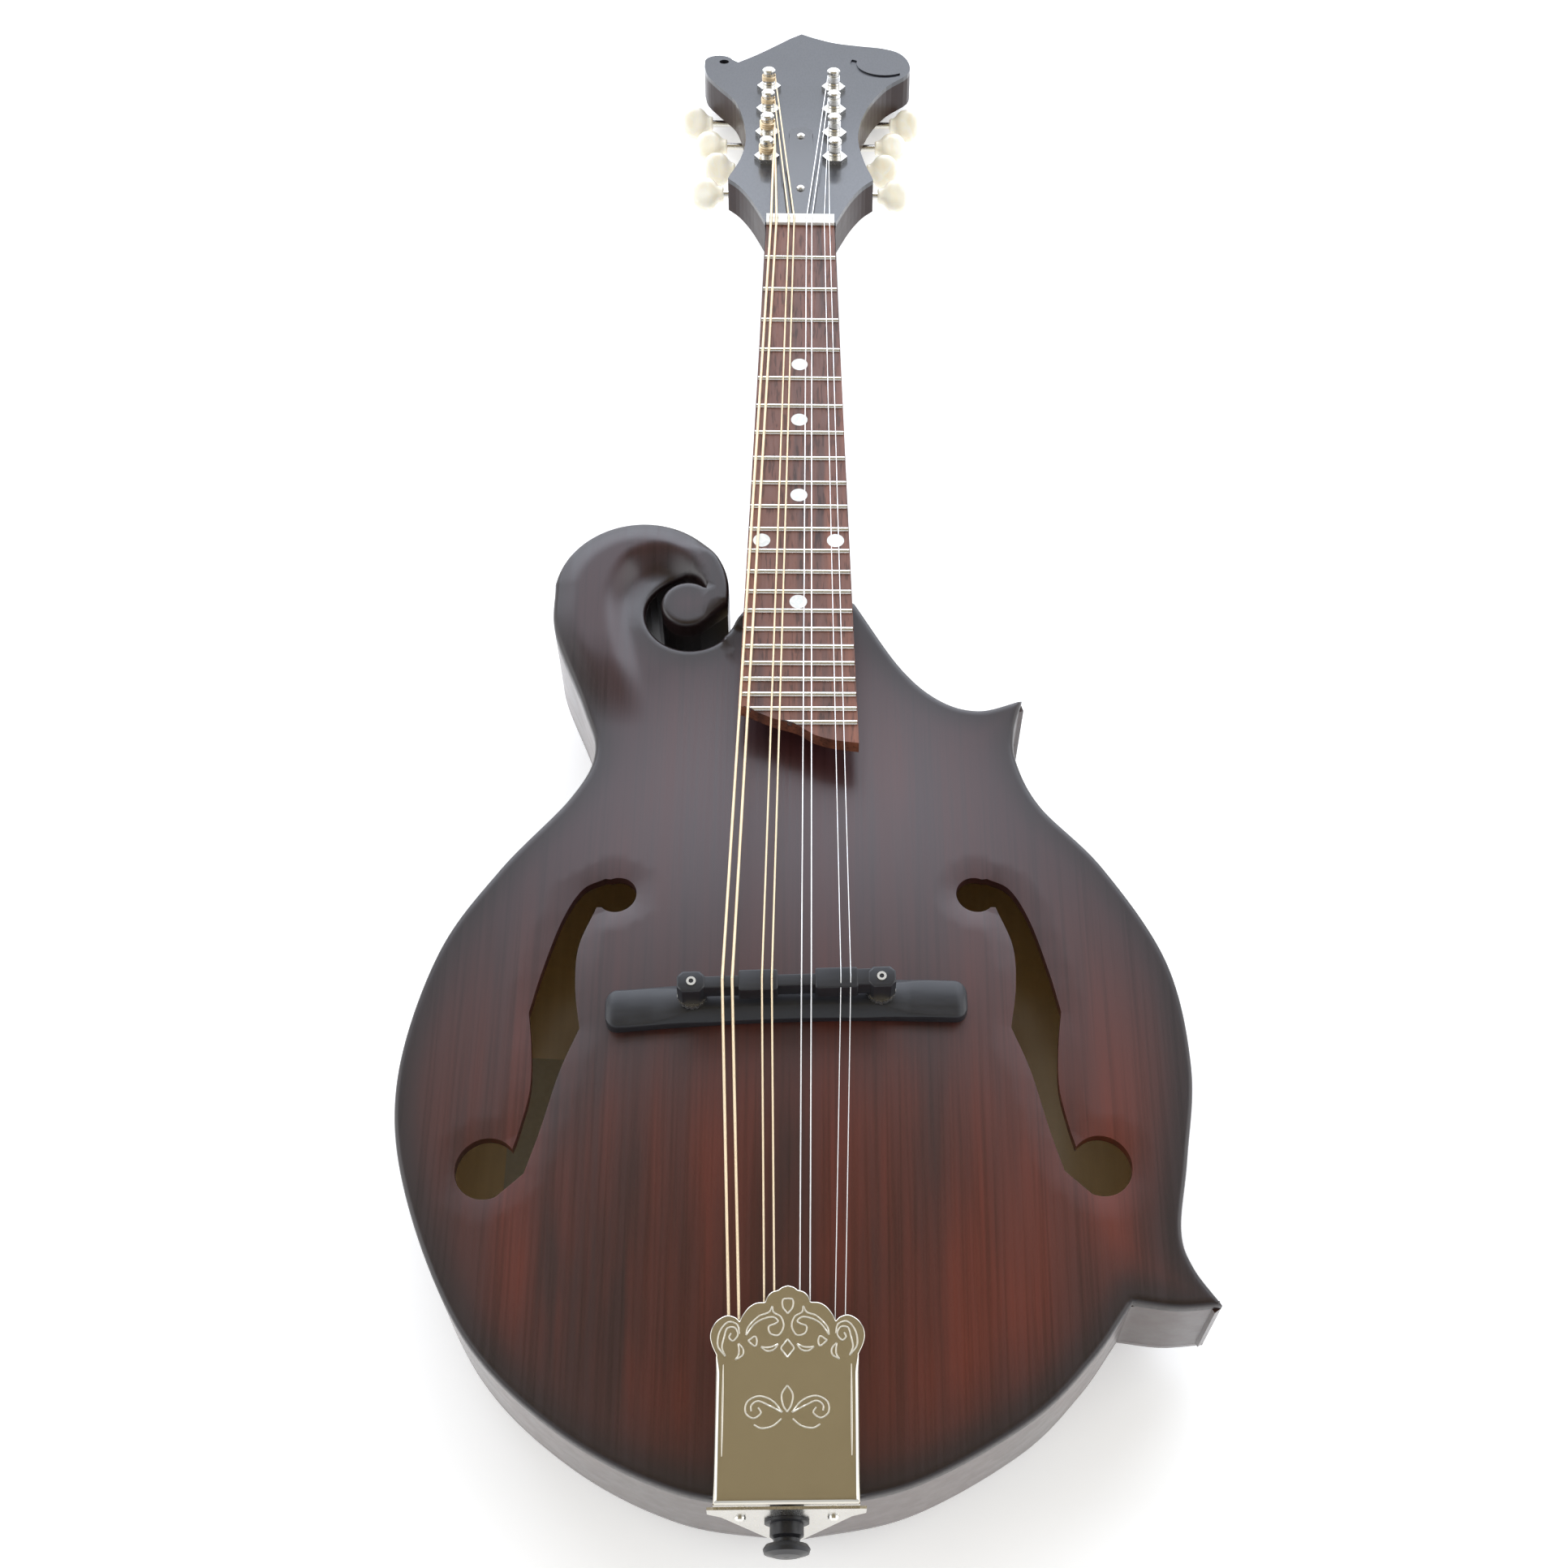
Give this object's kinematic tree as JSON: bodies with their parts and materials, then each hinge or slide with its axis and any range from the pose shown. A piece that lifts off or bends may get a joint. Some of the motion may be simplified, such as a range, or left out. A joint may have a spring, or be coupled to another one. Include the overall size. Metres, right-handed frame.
{
  "type": "mandolin",
  "caption": "Carved scroll-body mandolin with two points and f-holes, movable bridge, metal tailpiece cover and geared tuners.",
  "frame": {"origin": "lowest point of the arched back, on the centreline", "axes": "+X to the treble side, +Y along the neck to the headstock, +Z out of the top, square to the sides' edges"},
  "size_m": [0.2575, 0.7014, 0.1088],
  "materials": {
    "stained_top": "dark red-brown stain under a satin lacquer, spruce grain along the body",
    "stained_wood": "dark brown stain under a satin lacquer, maple grain",
    "bare_wood": "bare sanded wood",
    "label_paper": "matte aged paper",
    "steel": "plain steel",
    "brass": "machined",
    "black_plastic": "glossy black",
    "rosewood": "oiled, open-pored, dark streaks",
    "nickel": "polished nickel plate",
    "pearl": "pearly inlay",
    "bone": "polished white",
    "black_lacquer": "semi-gloss black",
    "ebony": "polished black",
    "bronze_string": "wound bronze wire",
    "steel_string": "plain drawn wire",
    "cream_plastic": "glossy cream plastic"
  },
  "bodies": {
    "body": {"top_plate": "stained_top", "back_plate": "stained_wood", "rib_bass": "stained_wood", "rib_tail": "stained_wood", "rib_bout": "stained_wood", "rib_shoulder": "stained_wood", "linings": "bare_wood", "neck_block": "bare_wood", "tail_block": "bare_wood", "upper_point_block": "bare_wood", "lower_point_block": "bare_wood", "tone_bars": "bare_wood", "paper_label": "label_paper", "neck": "stained_wood", "truss_rod": "steel", "truss_rod_cover": "black_plastic", "fretboard": "rosewood", "frets": "nickel", "fret_dots": "pearl", "nut": "bone", "headstock_overlay": "black_lacquer", "tuner_plates": "nickel", "tuner_bushings": "nickel", "wood_screws": "nickel", "bridge_base": "ebony", "bridge_posts": "nickel", "tailpiece_base": "nickel", "end_pin": "ebony", "strings_wound": "bronze_string", "strings_plain": "steel_string"},
    "saddle": {"bridge_saddle": "ebony"},
    "bass_thumbwheel": {"thumbwheel_bass": "nickel"},
    "treble_thumbwheel": {"thumbwheel_treble": "nickel"},
    "cover": {"tailpiece_cover": "nickel"},
    "rod_nut": {"truss_rod_nut": "brass"},
    "bass_button_1": {"tuner_worm_bass_1": "nickel", "tuner_button_bass_1": "cream_plastic"},
    "bass_post_1": {"tuner_post_bass_1": "nickel"},
    "bass_button_2": {"tuner_worm_bass_2": "nickel", "tuner_button_bass_2": "cream_plastic"},
    "bass_post_2": {"tuner_post_bass_2": "nickel"},
    "bass_button_3": {"tuner_worm_bass_3": "nickel", "tuner_button_bass_3": "cream_plastic"},
    "bass_post_3": {"tuner_post_bass_3": "nickel"},
    "bass_button_4": {"tuner_worm_bass_4": "nickel", "tuner_button_bass_4": "cream_plastic"},
    "bass_post_4": {"tuner_post_bass_4": "nickel"},
    "treble_button_1": {"tuner_worm_treble_1": "nickel", "tuner_button_treble_1": "cream_plastic"},
    "treble_post_1": {"tuner_post_treble_1": "nickel"},
    "treble_button_2": {"tuner_worm_treble_2": "nickel", "tuner_button_treble_2": "cream_plastic"},
    "treble_post_2": {"tuner_post_treble_2": "nickel"},
    "treble_button_3": {"tuner_worm_treble_3": "nickel", "tuner_button_treble_3": "cream_plastic"},
    "treble_post_3": {"tuner_post_treble_3": "nickel"},
    "treble_button_4": {"tuner_worm_treble_4": "nickel", "tuner_button_treble_4": "cream_plastic"},
    "treble_post_4": {"tuner_post_treble_4": "nickel"}
  },
  "joints": [
    {"name": "saddle_lift", "type": "slide", "parent": "body", "child": "saddle", "axis": [0, 0, 1], "range_m": [-0.0003, 0.0022], "deforming": ["strings_wound", "strings_plain"]},
    {"name": "bass_thumbwheel_turn", "type": "hinge", "parent": "saddle", "child": "bass_thumbwheel", "pos_m": [-0.03299, 0.01946, 0.075], "axis": [0, 0, 1], "range_deg": [-155.29, 1132.43]},
    {"name": "treble_thumbwheel_turn", "type": "hinge", "parent": "saddle", "child": "treble_thumbwheel", "pos_m": [0.02699, 0.02114, 0.075], "axis": [0, 0, 1], "range_deg": [-155.29, 1132.43]},
    {"name": "cover_slide", "type": "slide", "parent": "body", "child": "cover", "axis": [0, 0.9976, 0.0698], "range_m": [0, 0.012]},
    {"name": "rod_nut_turn", "type": "hinge", "parent": "body", "child": "rod_nut", "pos_m": [0, 0.38381, 0.04099], "axis": [0, 0.9967, -0.0814], "range_deg": [-180, 180]},
    {"name": "bass_button_1_turn", "type": "hinge", "parent": "body", "child": "bass_button_1", "pos_m": [-0.0147, 0.43434, 0.00923], "axis": [-1, 0, 0], "continuous": true},
    {"name": "bass_post_1_turn", "type": "hinge", "parent": "body", "child": "bass_post_1", "pos_m": [-0.0147, 0.4331, 0.03166], "axis": [0, 0.3035, 0.9528], "continuous": true},
    {"name": "bass_button_2_turn", "type": "hinge", "parent": "body", "child": "bass_button_2", "pos_m": [-0.0147, 0.45626, 0.00224], "axis": [-1, 0, 0], "continuous": true},
    {"name": "bass_post_2_turn", "type": "hinge", "parent": "body", "child": "bass_post_2", "pos_m": [-0.0147, 0.45501, 0.02468], "axis": [0, 0.3035, 0.9528], "continuous": true},
    {"name": "bass_button_3_turn", "type": "hinge", "parent": "body", "child": "bass_button_3", "pos_m": [-0.0147, 0.47817, -0.00474], "axis": [-1, 0, 0], "continuous": true},
    {"name": "bass_post_3_turn", "type": "hinge", "parent": "body", "child": "bass_post_3", "pos_m": [-0.0147, 0.47692, 0.0177], "axis": [0, 0.3035, 0.9528], "continuous": true},
    {"name": "bass_button_4_turn", "type": "hinge", "parent": "body", "child": "bass_button_4", "pos_m": [-0.0147, 0.50009, -0.01172], "axis": [-1, 0, 0], "continuous": true},
    {"name": "bass_post_4_turn", "type": "hinge", "parent": "body", "child": "bass_post_4", "pos_m": [-0.0147, 0.49884, 0.01072], "axis": [0, 0.3035, 0.9528], "continuous": true},
    {"name": "treble_button_1_turn", "type": "hinge", "parent": "body", "child": "treble_button_1", "pos_m": [0.0147, 0.43434, 0.00923], "axis": [1, 0, 0], "continuous": true},
    {"name": "treble_post_1_turn", "type": "hinge", "parent": "body", "child": "treble_post_1", "pos_m": [0.0147, 0.4331, 0.03166], "axis": [0, 0.3035, 0.9528], "continuous": true},
    {"name": "treble_button_2_turn", "type": "hinge", "parent": "body", "child": "treble_button_2", "pos_m": [0.0147, 0.45626, 0.00224], "axis": [1, 0, 0], "continuous": true},
    {"name": "treble_post_2_turn", "type": "hinge", "parent": "body", "child": "treble_post_2", "pos_m": [0.0147, 0.45501, 0.02468], "axis": [0, 0.3035, 0.9528], "continuous": true},
    {"name": "treble_button_3_turn", "type": "hinge", "parent": "body", "child": "treble_button_3", "pos_m": [0.0147, 0.47817, -0.00474], "axis": [1, 0, 0], "continuous": true},
    {"name": "treble_post_3_turn", "type": "hinge", "parent": "body", "child": "treble_post_3", "pos_m": [0.0147, 0.47692, 0.0177], "axis": [0, 0.3035, 0.9528], "continuous": true},
    {"name": "treble_button_4_turn", "type": "hinge", "parent": "body", "child": "treble_button_4", "pos_m": [0.0147, 0.50009, -0.01172], "axis": [1, 0, 0], "continuous": true},
    {"name": "treble_post_4_turn", "type": "hinge", "parent": "body", "child": "treble_post_4", "pos_m": [0.0147, 0.49884, 0.01072], "axis": [0, 0.3035, 0.9528], "continuous": true}
  ],
  "couplings": [
    {"joint": "bass_thumbwheel_turn", "follows": "saddle_lift", "rad_per_m": 8976},
    {"joint": "treble_thumbwheel_turn", "follows": "saddle_lift", "rad_per_m": 8976},
    {"joint": "bass_post_1_turn", "follows": "bass_button_1_turn", "ratio": 0.066667},
    {"joint": "bass_post_2_turn", "follows": "bass_button_2_turn", "ratio": 0.066667},
    {"joint": "bass_post_3_turn", "follows": "bass_button_3_turn", "ratio": 0.066667},
    {"joint": "bass_post_4_turn", "follows": "bass_button_4_turn", "ratio": 0.066667},
    {"joint": "treble_post_1_turn", "follows": "treble_button_1_turn", "ratio": -0.066667},
    {"joint": "treble_post_2_turn", "follows": "treble_button_2_turn", "ratio": -0.066667},
    {"joint": "treble_post_3_turn", "follows": "treble_button_3_turn", "ratio": -0.066667},
    {"joint": "treble_post_4_turn", "follows": "treble_button_4_turn", "ratio": -0.066667}
  ]
}
